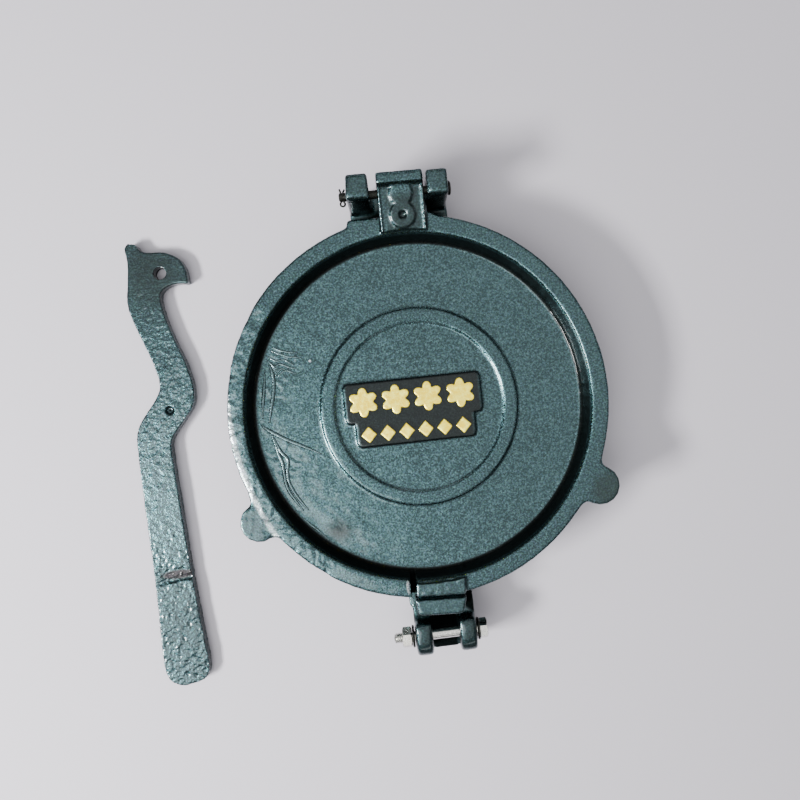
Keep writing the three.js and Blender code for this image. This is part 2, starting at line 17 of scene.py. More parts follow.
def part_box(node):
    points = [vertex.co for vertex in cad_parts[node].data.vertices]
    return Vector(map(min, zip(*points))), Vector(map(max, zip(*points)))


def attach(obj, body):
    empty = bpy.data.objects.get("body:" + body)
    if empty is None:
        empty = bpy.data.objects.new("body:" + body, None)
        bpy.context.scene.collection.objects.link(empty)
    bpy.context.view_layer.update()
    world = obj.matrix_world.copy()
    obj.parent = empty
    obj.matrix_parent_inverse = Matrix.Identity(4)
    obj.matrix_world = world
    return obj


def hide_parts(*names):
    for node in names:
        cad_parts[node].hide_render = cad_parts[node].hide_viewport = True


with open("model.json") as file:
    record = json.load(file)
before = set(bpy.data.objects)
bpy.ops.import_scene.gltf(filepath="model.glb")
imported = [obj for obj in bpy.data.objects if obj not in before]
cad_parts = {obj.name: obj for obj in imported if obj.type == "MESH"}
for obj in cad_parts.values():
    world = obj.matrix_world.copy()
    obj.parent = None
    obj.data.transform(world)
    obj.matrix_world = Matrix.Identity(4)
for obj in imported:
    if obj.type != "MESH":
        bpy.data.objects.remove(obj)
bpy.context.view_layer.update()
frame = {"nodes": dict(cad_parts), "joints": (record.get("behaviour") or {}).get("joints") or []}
MM = 0.001

# %% [markdown]
# The frame's origin is the middle of press and lever together. The sizes below count from the middle of
# the round plates instead, which lies a known way in front of the hinge, so one helper moves between them.

# %% Places on the press
hinge_reach = 112.7
hinge_joint = next(j for j in frame["joints"] if j["name"] == "top_plate_hinge")
hinge_place = Vector(hinge_joint["pos_m"])
press_centre = Vector((hinge_place.x, hinge_place.y - hinge_reach * MM, 0))


def on_press(x, y, z):
    return press_centre + Vector((x, y, z)) * MM


print("press centre:", press_centre)

# %% [markdown]
# The photograph looks almost straight down on the closed press. A camera about 350 mm above the rim, tipped
# three degrees, shows the ears, the lugs and the bolt as they lean there.

# %% The camera
camera = bpy.data.objects.new("camera", bpy.data.cameras.new("camera"))
camera.location = on_press(-8.86, 8.96, 385.76)
camera.rotation_euler = [math.radians(angle) for angle in (-0.84, -3.05, -6.1)]
camera.data.sensor_width = 36
camera.data.lens = 29.616
camera.data.shift_x = -0.0463
camera.data.shift_y = 0.0019
camera.data.clip_start = 0.01
bpy.context.scene.collection.objects.link(camera)
bpy.context.scene.camera = camera
print("camera at", camera.location)

# %% [markdown]
# Small helpers turn a bmesh into an object, apply its modifiers, and hand it to the frame. A finished
# piece keeps its place in its mesh, so that its object can stay at the origin. Points that lie closer than
# the weld distance are one point that two faces share.

# %% Helpers for pieces
weld = 0.001 * MM


def new_object(name, bm):
    mesh = bpy.data.meshes.new(name)
    bm.to_mesh(mesh)
    bm.free()
    made = bpy.data.objects.new(name, mesh)
    bpy.context.scene.collection.objects.link(made)
    return made


def apply_modifiers(piece):
    bpy.context.view_layer.update()
    evaluated = piece.evaluated_get(bpy.context.evaluated_depsgraph_get())
    finished = bpy.data.meshes.new_from_object(evaluated)
    old = piece.data
    piece.modifiers.clear()
    piece.data = finished
    bpy.data.meshes.remove(old)
    return piece


def dress(piece, material, body, slot, *nodes, sharp=180):
    piece.data.materials.clear()
    piece.data.materials.append(material)
    piece.data.shade_smooth()
    if sharp < 180:
        piece.data.set_sharp_from_angle(angle=math.radians(sharp))
    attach(piece, body)
    if nodes:
        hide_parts(*nodes)
    print(piece.name, "rides on", body, "with", len(piece.data.polygons), "faces")


# %% [markdown]
# Materials are built from nodes. These helpers add a node, set its values and wire it up in one line each.


# %% Helpers for materials
def add(tree, kind, **values):
    node = tree.nodes.new(kind)
    for name, value in values.items():
        if hasattr(node, name):
            setattr(node, name, value)
        else:
            node.inputs[name.replace("_", " ")].default_value = value
    return node


def plug(tree, socket, value):
    if isinstance(value, bpy.types.NodeSocket):
        tree.links.new(value, socket)
    else:
        socket.default_value = value


def math_node(tree, operation, first, second):
    node = add(tree, "ShaderNodeMath", operation=operation)
    plug(tree, node.inputs[0], first)
    plug(tree, node.inputs[1], second)
    return node.outputs[0]


def vector_node(tree, operation, *values):
    node = add(tree, "ShaderNodeVectorMath", operation=operation)
    for socket, value in zip(node.inputs, values):
        plug(tree, socket, value)
    return node.outputs["Value" if operation == "LENGTH" else "Vector"]


def mix_colour(tree, share, first, second, blend="MIX"):
    node = add(tree, "ShaderNodeMix", data_type="RGBA", blend_type=blend)
    for socket, value in ((0, share), (6, first), (7, second)):
        plug(tree, node.inputs[socket], (*value, 1) if isinstance(value, tuple) else value)
    return node.outputs[2]


def new_group(name, inputs, outputs):
    group = bpy.data.node_groups.new(name, "ShaderNodeTree")
    for socket, kind, value in inputs:
        made = group.interface.new_socket(socket, in_out="INPUT", socket_type=kind)
        made.default_value = value
    for socket, kind in outputs:
        group.interface.new_socket(socket, in_out="OUTPUT", socket_type=kind)
    group_in = group.nodes.new("NodeGroupInput")
    group_out = group.nodes.new("NodeGroupOutput")
    return group, group_in.outputs, group_out.inputs


# %% [markdown]
# The enamel dried in a fine hammered skin: small soft cells about a millimetre across. The same skin is on
# every casting, so it is a node group that gives a speckle, a faint tint and a height for bump. Its power
# makes room for light cells beside the dark ones.

# %% The hammered skin
speckle_power = 1.5
lump_share = 0.6
grain_group, grain_in, grain_out = new_group(
    "hammered skin",
    [("Cells per metre", "NodeSocketFloat", 1050)],
    [("Speckle", "NodeSocketFloat"), ("Height", "NodeSocketFloat"), ("Tint", "NodeSocketColor")],
)
place = add(grain_group, "ShaderNodeTexCoord").outputs["Object"]
fine = add(grain_group, "ShaderNodeTexNoise", Detail=3.0, Roughness=0.6)
cells = add(grain_group, "ShaderNodeTexVoronoi", feature="SMOOTH_F1")
for node in (fine, cells):
    plug(grain_group, node.inputs["Vector"], place)
    plug(grain_group, node.inputs["Scale"], grain_in["Cells per metre"])
contrast = add(grain_group, "ShaderNodeMapRange", From_Min=0.34, From_Max=0.66)
plug(grain_group, contrast.inputs["Value"], fine.outputs["Fac"])
speckle = math_node(grain_group, "POWER", contrast.outputs["Result"], speckle_power)
lumps = math_node(grain_group, "MULTIPLY", cells.outputs["Distance"], lump_share)
height = math_node(grain_group, "ADD", lumps, fine.outputs["Fac"])
for socket, value in (("Speckle", speckle), ("Tint", fine.outputs["Color"]), ("Height", height)):
    plug(grain_group, grain_out[socket], value)
print("group:", grain_group.name)

# %% [markdown]
# Stains, painted shade in corners and gaps, and painted highlights on edges are local: each is a soft spot
# round a named place, round like an egg or square like a box, and hollow where it is a ring, such as the
# painted shade on the dish's wall. A second group measures how far a point lies inside such a spot: 1 in
# its middle and 0 outside its radii.

# %% A soft spot
ring_softness = 0.015
spot_group, spot_in, spot_out = new_group(
    "soft spot",
    [("Centre", "NodeSocketVector", (0, 0, 0)), ("Radii", "NodeSocketVector", (1, 1, 1)),
     ("Softness", "NodeSocketFloat", 0.4), ("Squareness", "NodeSocketFloat", 0.0),
     ("Hollow", "NodeSocketFloat", 0.0)],
    [("Share", "NodeSocketFloat")],
)
place = add(spot_group, "ShaderNodeTexCoord").outputs["Object"]
away = vector_node(spot_group, "SUBTRACT", place, spot_in["Centre"])
scaled = vector_node(spot_group, "DIVIDE", away, spot_in["Radii"])
reach = vector_node(spot_group, "LENGTH", scaled)
sides = add(spot_group, "ShaderNodeSeparateXYZ")
plug(spot_group, sides.inputs["Vector"], vector_node(spot_group, "ABSOLUTE", scaled))
widest = math_node(spot_group, "MAXIMUM", sides.outputs["X"], sides.outputs["Y"])
widest = math_node(spot_group, "MAXIMUM", widest, sides.outputs["Z"])
shape = add(spot_group, "ShaderNodeMix", data_type="FLOAT")
for socket, value in ((0, spot_in["Squareness"]), (2, reach), (3, widest)):
    plug(spot_group, shape.inputs[socket], value)
fade = add(spot_group, "ShaderNodeMapRange", interpolation_type="SMOOTHSTEP",
           From_Max=1.0, To_Min=1, To_Max=0)
core = add(spot_group, "ShaderNodeMapRange", interpolation_type="SMOOTHSTEP")
fade_start = math_node(spot_group, "SUBTRACT", 1.0, spot_in["Softness"])
core_start = math_node(spot_group, "SUBTRACT", spot_in["Hollow"], ring_softness)
for socket, value in (
    (fade.inputs["From Min"], fade_start),
    (core.inputs["From Min"], core_start),
    (core.inputs["From Max"], spot_in["Hollow"]),
    (fade.inputs["Value"], shape.outputs[0]),
    (core.inputs["Value"], shape.outputs[0]),
):
    plug(spot_group, socket, value)
ring = math_node(spot_group, "MULTIPLY", fade.outputs["Result"], core.outputs["Result"])
plug(spot_group, spot_out["Share"], ring)
print("group:", spot_group.name)

# %% [markdown]
# The enamel is a metallic paint, so most of what the eye sees is the sky of the room in it. Its speckle
# swings between a dark and a light tone, and each spot draws both tones and the roughness towards its own.
# Worn edges are paler, and creases and hollows are painted darker as painted shade: the pointiness of the
# mesh tells one from the other.

# %% Enamel on cast iron
Spot = namedtuple("Spot", "centre radii softness squareness colour roughness hollow", defaults=[0])
# a near-black colour, painted into gaps, hollows and creases as painted shade
painted_shade = (0.004, 0.006, 0.006)
bare_edge = (0.22, 0.29, 0.3)
paint_roughness = 0.28
dark_share = 0.55
light_share = 1.45
tint_share = 0.4


def stained(tree, dark, light, dull, spots):
    for spot in spots.values():
        node = add(tree, "ShaderNodeGroup", node_tree=spot_group)
        node.inputs["Centre"].default_value = on_press(*spot.centre)
        node.inputs["Radii"].default_value = Vector(spot.radii) * MM
        node.inputs["Softness"].default_value = spot.softness
        node.inputs["Squareness"].default_value = spot.squareness
        node.inputs["Hollow"].default_value = spot.hollow
        share = node.outputs["Share"]
        dark = mix_colour(tree, share, dark, tuple(dark_share * c for c in spot.colour))
        light = mix_colour(tree, share, light, tuple(light_share * c for c in spot.colour))
        change = math_node(tree, "SUBTRACT", spot.roughness, dull)
        dull = math_node(tree, "ADD", dull, math_node(tree, "MULTIPLY", change, share))
    return dark, light, dull


def enamel(name, dark, light, spots, bump=0.0002, patchy=0.25):
    material = bpy.data.materials.new(name)
    material.use_nodes = True
    tree = material.node_tree
    shader = tree.nodes["Principled BSDF"]
    shader.inputs["Metallic"].default_value = 1
    shader.inputs["Coat Roughness"].default_value = 0.12
    grain = add(tree, "ShaderNodeGroup", node_tree=grain_group)
    cloud = add(tree, "ShaderNodeTexNoise", Scale=45.0, Detail=4.0, Roughness=0.55)
    tree.links.new(add(tree, "ShaderNodeTexCoord").outputs["Object"], cloud.inputs["Vector"])
    patch = math_node(tree, "MULTIPLY", math_node(tree, "SUBTRACT", cloud.outputs["Fac"], 0.5), patchy)
    tone = math_node(tree, "ADD", grain.outputs["Speckle"], patch)
    gloss = add(tree, "ShaderNodeMapRange", To_Min=paint_roughness - 0.1, To_Max=paint_roughness + 0.12)
    tree.links.new(tone, gloss.inputs["Value"])
    dark, light, dull = stained(tree, dark, light, gloss.outputs["Result"], spots)
    coat = add(tree, "ShaderNodeMapRange", From_Min=0.45, From_Max=0.75, To_Min=0.55, To_Max=0.0)
    tree.links.new(dull, coat.inputs["Value"])
    tree.links.new(coat.outputs["Result"], shader.inputs["Coat Weight"])
    colour = mix_colour(tree, tone, dark, light)
    colour = mix_colour(tree, tint_share, colour, grain.outputs["Tint"], blend="OVERLAY")
    edge = add(tree, "ShaderNodeNewGeometry").outputs["Pointiness"]
    worn = add(tree, "ShaderNodeMapRange", From_Min=0.52, From_Max=0.6, To_Max=0.4)
    # creases and hollows of low pointiness are painted darker as painted shade
    crease_shade = add(tree, "ShaderNodeMapRange", From_Min=0.485, From_Max=0.42, To_Max=0.85)
    for share in (worn, crease_shade):
        tree.links.new(edge, share.inputs["Value"])
    colour = mix_colour(tree, worn.outputs["Result"], colour, bare_edge)
    colour = mix_colour(tree, crease_shade.outputs["Result"], colour, painted_shade)
    tree.links.new(colour, shader.inputs["Base Color"])
    tree.links.new(dull, shader.inputs["Roughness"])
    relief = add(tree, "ShaderNodeBump", Strength=0.6, Distance=bump)
    tree.links.new(grain.outputs["Height"], relief.inputs["Height"])
    tree.links.new(relief.outputs["Normal"], shader.inputs["Normal"])
    return material


# %% [markdown]
# The top plate has the most spots. Places and radii are in millimetres, counted from the middle of the
# plates. The ring of painted highlight lies off the middle, so it meets the plate's edge only at the left.
# Both rings run through the whole height, so the last spot gives the hidden underside its plain tone again.

# %% The top plate's enamel
# the plaque's field between the raised relief is painted dark as painted shade
plaque_shade = (0.0052, 0.0095, 0.0095)
plate_enamel = enamel("plate enamel", (0.01, 0.0276, 0.03), (0.056, 0.124, 0.135), {
    # the dish's wall is painted near black as painted shade
    "painted shade on the dish's wall": Spot((0, 0, 0), (92.4, 92.4, 900), 0.008, 0, painted_shade, 0.6, 0.962),
    # the tongue's recessed panel and its right wall are painted darker as painted shade
    "painted shade on the tongue's panel": Spot((2, 104, 41), (12, 14, 4), 0.4, 1, (0.013, 0.0285, 0.0295), 0.34),
    "painted shade on the panel's right wall": Spot((13.6, 104, 42), (1.6, 14, 5), 0.4, 1, (0.01, 0.021, 0.022), 0.55),
    "pad and nose": Spot((1, -102, 38), (16, 11, 6), 0.3, 1, (0.029, 0.063, 0.068), 0.32),
    "stain on the floor": Spot((-50.4, -62.2, 26.5), (11, 9, 5), 0.9, 0, (0.014, 0.027, 0.028), 0.44),
    "light dot on the floor": Spot((-56.5, 30.8, 26.5), (0.9, 0.9, 3), 0.4, 0, (0.3, 0.36, 0.38), 0.4),
    # the narrow gaps of the notch are painted near black as painted shade
    "painted shade in the left notch": Spot((-14, -98, 27), (1.6, 12, 5), 0.4, 1, painted_shade, 0.8),
    "painted shade in the right notch": Spot((14.7, -98, 27), (0.9, 12, 5), 0.4, 1, painted_shade, 0.8),
    # the plaque's field is painted dark as the shade between the relief
    "painted shade on the plaque's upper half": Spot((-3.2, 5.0, 28), (38.2, 11.6, 1.9), 0.08, 1, plaque_shade, 0.45),
    "painted shade on the plaque's lower half": Spot((-3.2, -12.5, 28), (33.4, 7.2, 1.9), 0.1, 1, plaque_shade, 0.45),
    # pale edges on the side facing the key lamp are painted highlights
    "painted highlight on the left edge": Spot((56.5, 13, 37.5), (159, 159, 900), 0.008, 0, (0.25, 0.3, 0.31), 0.3, 0.988),
    "painted highlight on the notch's corner": Spot((-16.4, -94.5, 37.5), (1.4, 5, 3), 0.5, 0, (0.3, 0.35, 0.36), 0.25),
    "left tab": Spot((-97, -55, 37), (15, 15, 9), 0.6, 0, (0.022, 0.05, 0.055), 0.33),
    "right tab": Spot((98, -56, 37), (15, 15, 9), 0.6, 0, (0.02, 0.042, 0.042), 0.33),
    "underside": Spot((0, 0, 10), (130, 130, 12), 0.15, 1, (0.028, 0.066, 0.072), 0.34),
})
print("enamel:", plate_enamel.name)

# %% [markdown]
# Of the base, the ears, the neck and the lugs show from above, and the gaps round them are painted dark as
# painted shade, with a painted shadow right of the neck. The lever's paint is patchier, darker on the head
# and the lower handle and greyer in the groove, and its pit and eye are painted dark as painted shade.

# %% The enamel of the base and the lever
base_enamel = enamel("base enamel", (0.009, 0.0245, 0.0262), (0.04, 0.088, 0.093), {
    "lugs": Spot((1.2, -127, 26), (22, 10, 8), 0.4, 1, (0.0145, 0.032, 0.034), 0.3),
    # the fork's floor, the gap under the tongue and both sides of the neck are painted near black as
    # painted shade and shadow
    "painted shade on the fork's floor": Spot((1.2, -124, 8), (9, 23, 13), 0.3, 0.8, painted_shade, 0.8),
    "painted shade under the tongue": Spot((0, 103, 20), (34, 10, 14), 0.5, 0, painted_shade, 0.8),
    "painted shadow right of the neck": Spot((17.5, -110, 18), (7, 11, 7), 0.3, 0, painted_shade, 0.8),
    "painted shade left of the neck": Spot((-12, -117.5, 18), (7, 4.5, 7), 0.4, 0, painted_shade, 0.8),
})
lever_enamel = enamel("lever enamel", (0.0079, 0.0222, 0.0244), (0.045, 0.097, 0.106), {
    "head": Spot((-140, 86, 7), (30, 34, 9), 0.8, 0, (0.0115, 0.024, 0.025), 0.34),
    "lower handle": Spot((-147, -110, 7), (34, 60, 9), 0.9, 0, (0.011, 0.0285, 0.0315), 0.33),
    "groove": Spot((-145.6, -80.7, 7), (12, 3.3, 4), 0.35, 0, (0.026, 0.025, 0.027), 0.6),
    # the pit and the eye's hole are painted near black as painted shade
    "pit": Spot((-140.4, 12.4, 6), (1.7, 1.5, 2), 0.5, 0, painted_shade, 0.8),
    "eye": Spot((-137.2, 89.8, 0), (3.9, 3.9, 6.6), 0.1, 0, painted_shade, 0.8),
}, bump=0.0003, patchy=0.5)
print("enamels:", base_enamel.name, lever_enamel.name)

# %% [markdown]
# Steel and gold paint have a finer or a coarser skin than the enamel, so they use the same group with their
# own number of cells. The nut is zinc, the bolt is bright, and the washers and pins are dull.


# %% Steel and gold paint
def metal(name, colour, shade, roughness, metallic=1.0, cells_per_metre=1400, bump=0.0001):
    material = bpy.data.materials.new(name)
    material.use_nodes = True
    tree = material.node_tree
    shader = tree.nodes["Principled BSDF"]
    shader.inputs["Metallic"].default_value = metallic
    grain = add(tree, "ShaderNodeGroup", node_tree=grain_group)
    grain.inputs["Cells per metre"].default_value = cells_per_metre
    colour = mix_colour(tree, grain.outputs["Speckle"], shade, colour)
    tree.links.new(colour, shader.inputs["Base Color"])
    gloss = add(tree, "ShaderNodeMapRange", To_Min=roughness - 0.08, To_Max=roughness + 0.1)
    tree.links.new(grain.outputs["Speckle"], gloss.inputs["Value"])
    tree.links.new(gloss.outputs["Result"], shader.inputs["Roughness"])
    relief = add(tree, "ShaderNodeBump", Strength=0.4, Distance=bump)
    tree.links.new(grain.outputs["Height"], relief.inputs["Height"])
    tree.links.new(relief.outputs["Normal"], shader.inputs["Normal"])
    return material


zinc = metal("zinc", (0.66, 0.65, 0.6), (0.56, 0.54, 0.49), 0.26, metallic=0.92, bump=0.00001)
bolt_steel = metal("bolt steel", (0.74, 0.74, 0.7), (0.5, 0.5, 0.47), 0.15, bump=0.000008)
dull_steel = metal("dull steel", (0.045, 0.048, 0.042), (0.01, 0.01, 0.009), 0.42)
gold_paint = metal("gold paint", (1.0, 0.95, 0.17), (1.0, 0.74, 0.05), 0.3,
                   metallic=0.85, cells_per_metre=450)
print("metals:", zinc.name, bolt_steel.name, dull_steel.name, gold_paint.name)

# %% [markdown]
# A sand casting has no sharp edge and no truly flat face. A voxel skin over the exact solid melts its edges
# by about half a millimetre, and two inward displacements add the waves and the sand. Both only take metal
# away. Where the mould broke up, a vertex group marks the place and more displacements dig deeper there.
# Small discs, melted into the skin, first fill out the lever's crest and the toe of the fork's floor.


# %% Sand castings
def dig(piece, texture, size, depth, group):
    texture.noise_scale = size * MM
    texture.noise_depth = 2
    push = piece.modifiers.new(texture.name, "DISPLACE")
    push.texture = texture
    push.texture_coords = "LOCAL"
    push.mid_level = 0
    push.strength = -depth * MM
    push.vertex_group = group


def sand(piece, size, depth, group="", hard=False):
    texture = bpy.data.textures.new("sand", "CLOUDS")
    texture.noise_type = "HARD_NOISE" if hard else "SOFT_NOISE"
    dig(piece, texture, size, depth, group)


def wrinkles(piece, size, folds, depth, group):
    texture = bpy.data.textures.new("wrinkles", "MARBLE")
    texture.turbulence = folds
    dig(piece, texture, size, depth, group)


def voxel_skin(piece, voxel):
    remesh = piece.modifiers.new("voxel skin", "REMESH")
    remesh.mode = "VOXEL"
    remesh.voxel_size = voxel * MM


def smooth_out(piece, times, group=""):
    soften = piece.modifiers.new("smooth out", "SMOOTH")
    soften.factor = 0.5
    soften.iterations = times
    soften.vertex_group = group


def casting(name, node, voxel, lobes=()):
    bm = bmesh.new()
    bm.from_mesh(frame["nodes"][node].data)
    bmesh.ops.remove_doubles(bm, verts=bm.verts, dist=weld)
    for centre, radius, depth in lobes:
        disc = bmesh.ops.create_cone(bm, cap_ends=True, segments=32, radius1=radius * MM,
                                     radius2=radius * MM, depth=depth * MM)
        bmesh.ops.translate(bm, verts=disc["verts"], vec=centre)
    piece = new_object(name, bm)
    voxel_skin(piece, voxel)
    smooth_out(piece, 1)
    return apply_modifiers(piece)


def thin_out(piece, limit):
    faces = 2 * len(piece.data.polygons)
    if faces > limit:
        fewer = piece.modifiers.new("fewer faces", "DECIMATE")
        fewer.ratio = limit / faces
        apply_modifiers(piece)


# %% [markdown]
# A vertex group holds a weight for each point: full in the inner half of each marked ball, and fading to
# nothing at its edge. A modifier with that group works in proportion to the weight.


# %% Marked places
def mark(piece, name, places):
    group = piece.vertex_groups.new(name=name)
    for vertex in piece.data.vertices:
        weight = max(1 - (vertex.co - centre).length / (radius * MM) for centre, radius in places)
        if weight > 0:
            group.add([vertex.index], min(1, 2 * weight), "REPLACE")


def spare(piece, name, axis_point, radius):
    near = [v.index for v in piece.data.vertices if (v.co - axis_point).yz.length < radius * MM]
    piece.vertex_groups[name].remove(near)


def round_the_ring(radius, level, ball, angles):
    turns = [math.radians(angle) for angle in angles]
    return [(on_press(radius * math.cos(a), radius * math.sin(a), level), ball) for a in turns]


# %% [markdown]
# The ring is rough and wrinkled on its left side, and its outer edge is rounder there. The dish's floor has
# wrinkles beside it, and the pad over the nose is rough too.

# %% The top plate
rim_middle = 97
rim_edge = 102
rim_top = 37.5
top_plate = casting("top_plate_casting", "top_plate", 0.6)
ring_places = round_the_ring(rim_middle, 37, 14, range(150, 231, 8))
mark(top_plate, "rough", [
    (on_press(-93, -50, 36), 24),
    (on_press(-7, -97, 39), 9),
    (on_press(8, -97, 39), 9),
    *ring_places,
])
mark(top_plate, "wrinkled", [
    (on_press(-70, 32, 32), 17.5),
    (on_press(-78, 15, 31), 12.5),
    (on_press(-76, -22, 31), 14.5),
    *ring_places,
])
mark(top_plate, "soft edge", [
    (on_press(-16.6, -94, rim_top), 6),
    *round_the_ring(rim_edge, rim_top, 6, range(165, 236, 4)),
])
smooth_out(top_plate, 34, group="soft edge")
sand(top_plate, 9, 0.3)
sand(top_plate, 2.5, 0.1)
sand(top_plate, 4, 0.55, group="rough")
wrinkles(top_plate, 14, 30, 0.22, group="wrinkled")
thin_out(apply_modifiers(top_plate), 190000)
dress(top_plate, plate_enamel, "top_plate", "enamelled_iron", "top_plate")

# %% [markdown]
# The two lugs and one corner of the right ear are well rounded. Smoothing does that, but it would also
# close the bolt's bore, so the points round the bolt's axis are spared.

# %% The base
fork_toe = [(on_press(x, -129.5, 4.1), 11, 7.6) for x in (-3.2, 1.2, 5.6)]
base = casting("base_casting", "base", 0.75, lobes=fork_toe)
mark(base, "lugs", [(on_press(x, -127, 24), 17) for x in (-11, 13.4)])
spare(base, "lugs", on_press(0, -126.6, 22), 4.8)
smooth_out(base, 55, group="lugs")
mark(base, "ear corner", [(on_press(15.5, 107.5, 49), 7)])
smooth_out(base, 40, group="ear corner")
sand(base, 9, 0.3)
sand(base, 2.5, 0.12)
thin_out(apply_modifiers(base), 190000)
dress(base, base_enamel, "base", "enamelled_iron", "base")

# %% [markdown]
# The lever is the roughest casting: coarse sand and fine pits on its handle, deep ones at its lower end, a
# groove across it and one round pit. Noise much larger than a place is nearly even there, so it digs a
# clean hollow.

# %% The lever
crest_tip = (on_press(-151.0, 104.4, 3.5), 3.3, 7.0)
lever = casting("lever_casting", "lever", 0.5, lobes=[crest_tip])
mark(lever, "handle", [(on_press(-140, y, 5), 40) for y in range(-130, 61, 15)])
sand(lever, 7, 0.2)
mark(lever, "pitted", [(on_press(-147, y, 5), 32) for y in range(-140, -70, 15)])
mark(lever, "groove", [(on_press(x, -80.8, 7), 4.5) for x in range(-152, -137, 3)])
mark(lever, "pit", [(on_press(-140.4, 12.4, 7), 2.8)])
sand(lever, 3.4, 0.5, group="handle")
sand(lever, 1.6, 0.25, group="handle", hard=True)
sand(lever, 2.4, 0.55, group="pitted", hard=True)
sand(lever, 40, 1.0, group="groove")
sand(lever, 40, 2.6, group="pit")
thin_out(apply_modifiers(lever), 150000)
dress(lever, lever_enamel, "lever", "enamelled_iron", "lever")

# %% [markdown]
# The plaque carries gilded relief work, a plain border of the kind that decorates kitchen iron: a row of
# four rosettes over a row of six lozenges, cast a little proud and painted gold. Each shape is an extruded
# ellipse or lozenge with its root in the plaque, and a voxel skin melts them into one soft relief.

# %% Gilded relief
plaque_top = 28.1
relief_height = 1.9
relief_root = 0.5
rosette_row = 5.4
rosette_places = (-30.2, -12.6, 4.8, 22.6)
petal_reach = 5.0
lozenge_row = -12.3
lozenge_start = -28.9
lozenge_step = 10.3


def raised_shape(bm, x, y, long, wide, turn=0, segments=24):
    verts = bmesh.ops.create_circle(bm, cap_ends=True, segments=segments, radius=1)["verts"]
    face = verts[0].link_faces[0]
    bmesh.ops.scale(bm, verts=verts, vec=(wide * MM, long * MM, 1))
    bmesh.ops.rotate(bm, verts=verts, matrix=Matrix.Rotation(math.radians(turn), 3, "Z"))
    bmesh.ops.translate(bm, verts=verts, vec=on_press(x, y, plaque_top - relief_root))
    wall = bmesh.ops.extrude_face_region(bm, geom=[face])["geom"]
    top = [g for g in wall if isinstance(g, bmesh.types.BMVert)]
    bmesh.ops.translate(bm, verts=top, vec=(0, 0, (relief_height + relief_root) * MM))
    bmesh.ops.recalc_face_normals(bm, faces=bm.faces)


bm = bmesh.new()
for x in rosette_places:
    raised_shape(bm, x, rosette_row, 2.4, 2.4)
    for turn in range(0, 360, 60):
        away = Vector((math.sin(math.radians(turn)), math.cos(math.radians(turn)))) * petal_reach
        raised_shape(bm, x + away.x, rosette_row + away.y, 3.2, 2.5, turn=-turn)
for i in range(6):
    raised_shape(bm, lozenge_start + lozenge_step * i, lozenge_row, 4.7, 4.4, segments=4)
gilding = new_object("gilded_relief", bm)
voxel_skin(gilding, 0.3)
smooth_out(gilding, 26)
apply_modifiers(gilding)
dress(gilding, gold_paint, "top_plate", "enamelled_iron")

# %% [markdown]
# Two things are drawn as lines with a round section: the veins of paint here, and the split pin's wire
# further on. A NURBS curve with a bevel does that, and it becomes a mesh at once.


# %% A drawn line
def drawn_line(name, places, radius, order, resolution, end_radius=1):
    curve = bpy.data.curves.new(name, "CURVE")
    curve.dimensions = "3D"
    curve.bevel_depth = radius * MM
    curve.bevel_resolution = resolution
    curve.use_fill_caps = True
    line = curve.splines.new("NURBS")
    line.points.add(len(places) - 1)
    line.order_u = order
    line.use_endpoint_u = True
    for i, (point, place) in enumerate(zip(line.points, places)):
        point.co = (*place, 1)
        point.radius = end_radius if i in (0, len(places) - 1) else 1
    holder = bpy.data.objects.new(name, curve)
    mesh = bpy.data.meshes.new_from_object(holder)
    bpy.data.objects.remove(holder)
    return mesh


def merged(meshes):
    bm = bmesh.new()
    for mesh in meshes:
        bm.from_mesh(mesh)
        bpy.data.meshes.remove(mesh)
    bmesh.ops.remove_doubles(bm, verts=bm.verts, dist=weld)
    return bm


# %% [markdown]
# The enamel crept while it was wet and left raised veins on the floor of the dish. They are fine beads of
# paint, thinner at their ends, flattened and sunk halfway into the floor.

# %% Veins in the enamel
vein_level = 26.35
vein_flatness = 0.55
vein_fullness = 1.12
vein_end = 0.35
ripples = [
    [(-75.9, 40.3), (-72.6, 38.3), (-68.9, 37.1), (-65.4, 36.2), (-62.2, 35.8)],
    [(-76.9, 38.8), (-73.9, 36.8), (-70.7, 35.6), (-68.1, 34.2), (-64.3, 33.9), (-60.9, 32.7)],
    [(-79.2, 35.9), (-76.4, 33.7), (-74.3, 32.4), (-70.4, 33.4), (-67.9, 31.2), (-65.3, 29.5)],
    [(-79.9, 34.1), (-77.2, 31.3), (-75.8, 29.0), (-73.4, 31.2), (-70.3, 29.8), (-67.1, 28.1),
     (-63.1, 27.1)],
    [(-77.1, 27.2), (-75.5, 27.0), (-72.4, 30.3)],
    [(-75.7, 25.1), (-73.8, 27.4), (-71.5, 28.8), (-69.5, 26.9)],
    [(-74.1, 24.6), (-71.7, 26.6), (-69.4, 27.2), (-66.6, 25.5), (-64.2, 24.7)],
]
veins = [(points, 0.6) for points in ripples] + [
    ([(-78.5, 31.0), (-77.2, 27.3), (-76.9, 21.9), (-77.9, 14.8), (-80.2, 6.7), (-81.9, -0.3)], 0.95),
    ([(-81.3, 27.1), (-82.4, 18.9), (-83.9, 11.9), (-84.9, 2.4)], 0.85),
    ([(-86.1, -0.8), (-83.5, -3.7), (-78.0, -7.3), (-72.5, -10.9), (-65.7, -14.3), (-55.6, -20.0)], 1.0),
    ([(-81.2, -6.3), (-79.5, -12.5), (-78.5, -18.6), (-77.0, -21.8), (-76.9, -29.6), (-76.4, -35.7),
      (-73.5, -42.0), (-68.6, -49.5)], 0.85),
    ([(-80.2, -8.3), (-78.2, -15.1), (-76.5, -17.6), (-73.6, -21.0), (-75.0, -26.2), (-75.2, -32.2),
      (-73.0, -38.4), (-69.4, -44.7), (-66.0, -49.5)], 0.85),
    ([(-70, -52.8), (-66.0, -57.4), (-62.2, -60.8), (-56.4, -67.5)], 0.75),
]
beads = []
